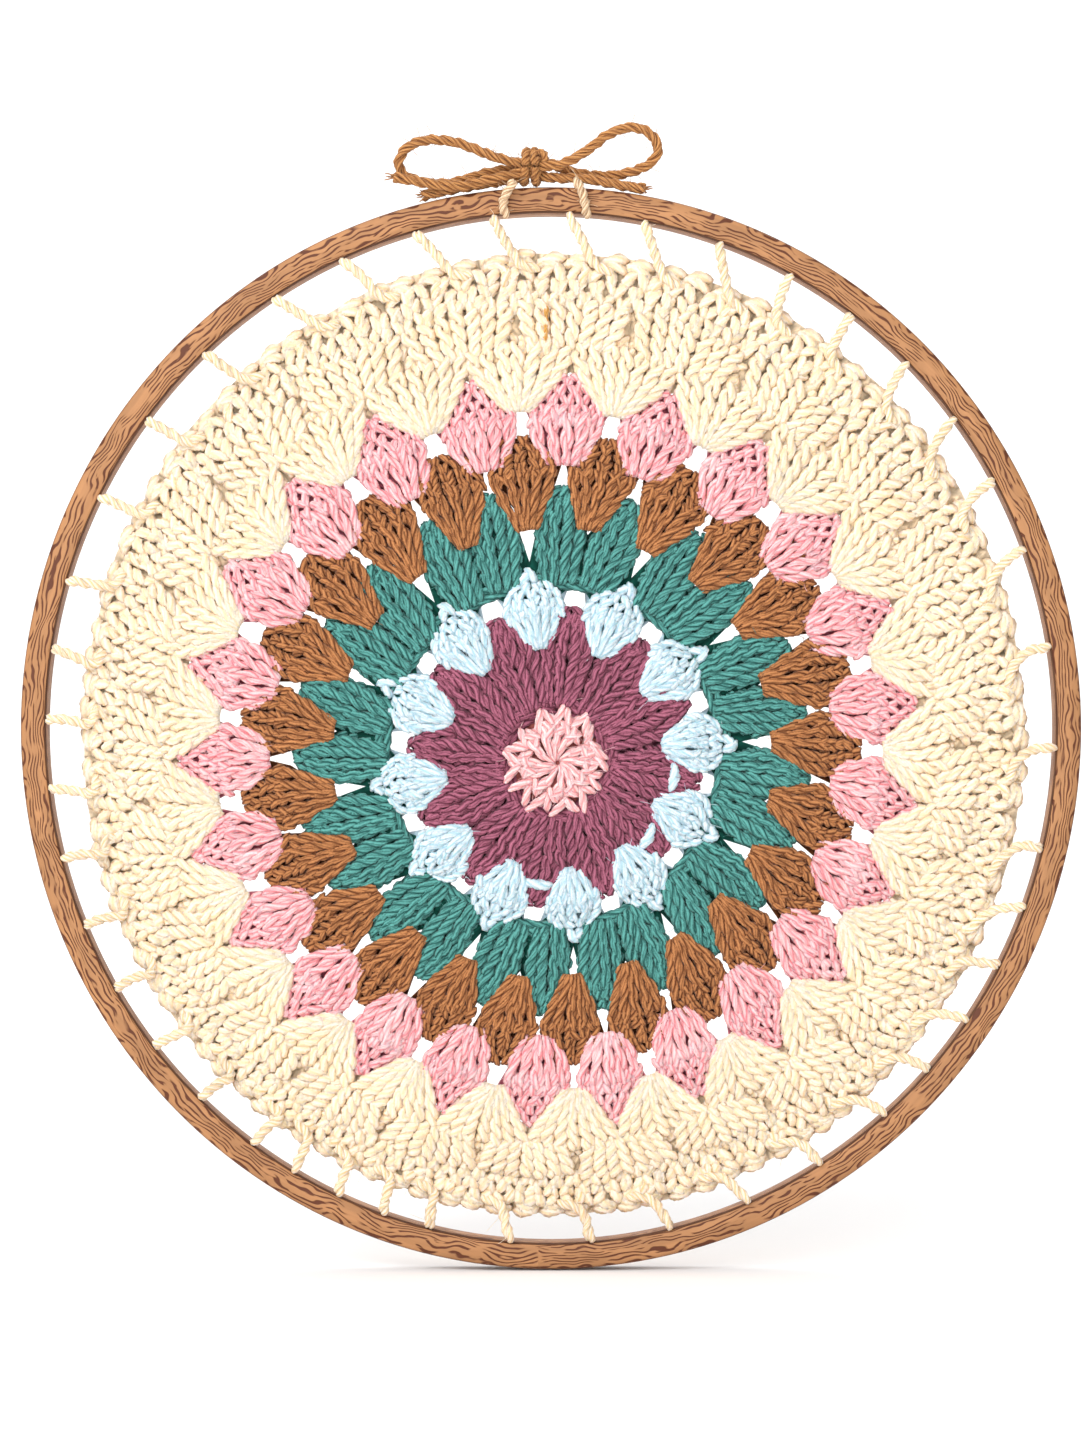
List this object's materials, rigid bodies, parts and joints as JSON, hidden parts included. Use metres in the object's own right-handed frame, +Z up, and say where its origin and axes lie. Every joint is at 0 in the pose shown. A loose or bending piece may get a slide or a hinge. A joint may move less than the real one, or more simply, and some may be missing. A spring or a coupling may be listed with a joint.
{
  "type": "crochet mandala in a wooden hoop",
  "caption": "Crochet mandala worked in coloured rounds, laced with yarn inside a plain wooden hoop with a twine bow on top, hung flat on a wall as decoration.",
  "frame": {"origin": "top of the hoop's inner wall at its back edge, where a nail holds it up", "axes": "+Z up, +X to the viewer's right, +Y out of the hoop's back into the wall; the crochet faces -Y"},
  "size_m": [0.25, 0.0126, 0.2701],
  "materials": {
    "hoop_wood": "satin",
    "yarn_coral": "matte",
    "yarn_plum": "matte",
    "yarn_pale_blue": "matte",
    "yarn_teal": "matte",
    "yarn_brown": "matte",
    "yarn_pink": "matte",
    "yarn_cream": "matte",
    "yarn_lacing": "matte",
    "twine": "matte",
    "tie_yarn": "matte"
  },
  "bodies": {
    "root": {"hoop": "hoop_wood", "round_coral": "yarn_coral", "round_plum": "yarn_plum", "round_pale_blue": "yarn_pale_blue", "round_teal": "yarn_teal", "round_brown": "yarn_brown", "round_pink": "yarn_pink", "round_cream": "yarn_cream", "lacing_01": "yarn_lacing", "lacing_02": "yarn_lacing", "lacing_03": "yarn_lacing", "lacing_04": "yarn_lacing", "lacing_05": "yarn_lacing", "lacing_06": "yarn_lacing", "lacing_07": "yarn_lacing", "lacing_08": "yarn_lacing", "lacing_09": "yarn_lacing", "lacing_10": "yarn_lacing", "lacing_11": "yarn_lacing", "lacing_12": "yarn_lacing", "lacing_13": "yarn_lacing", "lacing_14": "yarn_lacing", "lacing_15": "yarn_lacing", "lacing_16": "yarn_lacing", "lacing_17": "yarn_lacing", "lacing_18": "yarn_lacing", "lacing_19": "yarn_lacing", "lacing_20": "yarn_lacing", "lacing_21": "yarn_lacing", "lacing_22": "yarn_lacing", "lacing_23": "yarn_lacing", "lacing_24": "yarn_lacing", "lacing_25": "yarn_lacing", "lacing_26": "yarn_lacing", "lacing_27": "yarn_lacing", "lacing_28": "yarn_lacing", "lacing_29": "yarn_lacing", "lacing_30": "yarn_lacing", "lacing_31": "yarn_lacing", "lacing_32": "yarn_lacing", "lacing_33": "yarn_lacing", "lacing_34": "yarn_lacing", "lacing_35": "yarn_lacing", "lacing_36": "yarn_lacing", "lacing_37": "yarn_lacing", "lacing_38": "yarn_lacing", "lacing_39": "yarn_lacing", "lacing_40": "yarn_lacing", "lacing_41": "yarn_lacing", "lacing_42": "yarn_lacing", "lacing_43": "yarn_lacing", "bow_knot": "twine", "bow_loop_left": "twine", "bow_loop_right": "twine", "bow_tail_upper": "twine", "bow_tail_lower": "twine", "bow_tail_right": "twine", "tie_left": "tie_yarn", "tie_right": "tie_yarn"}
  },
  "joints": []
}
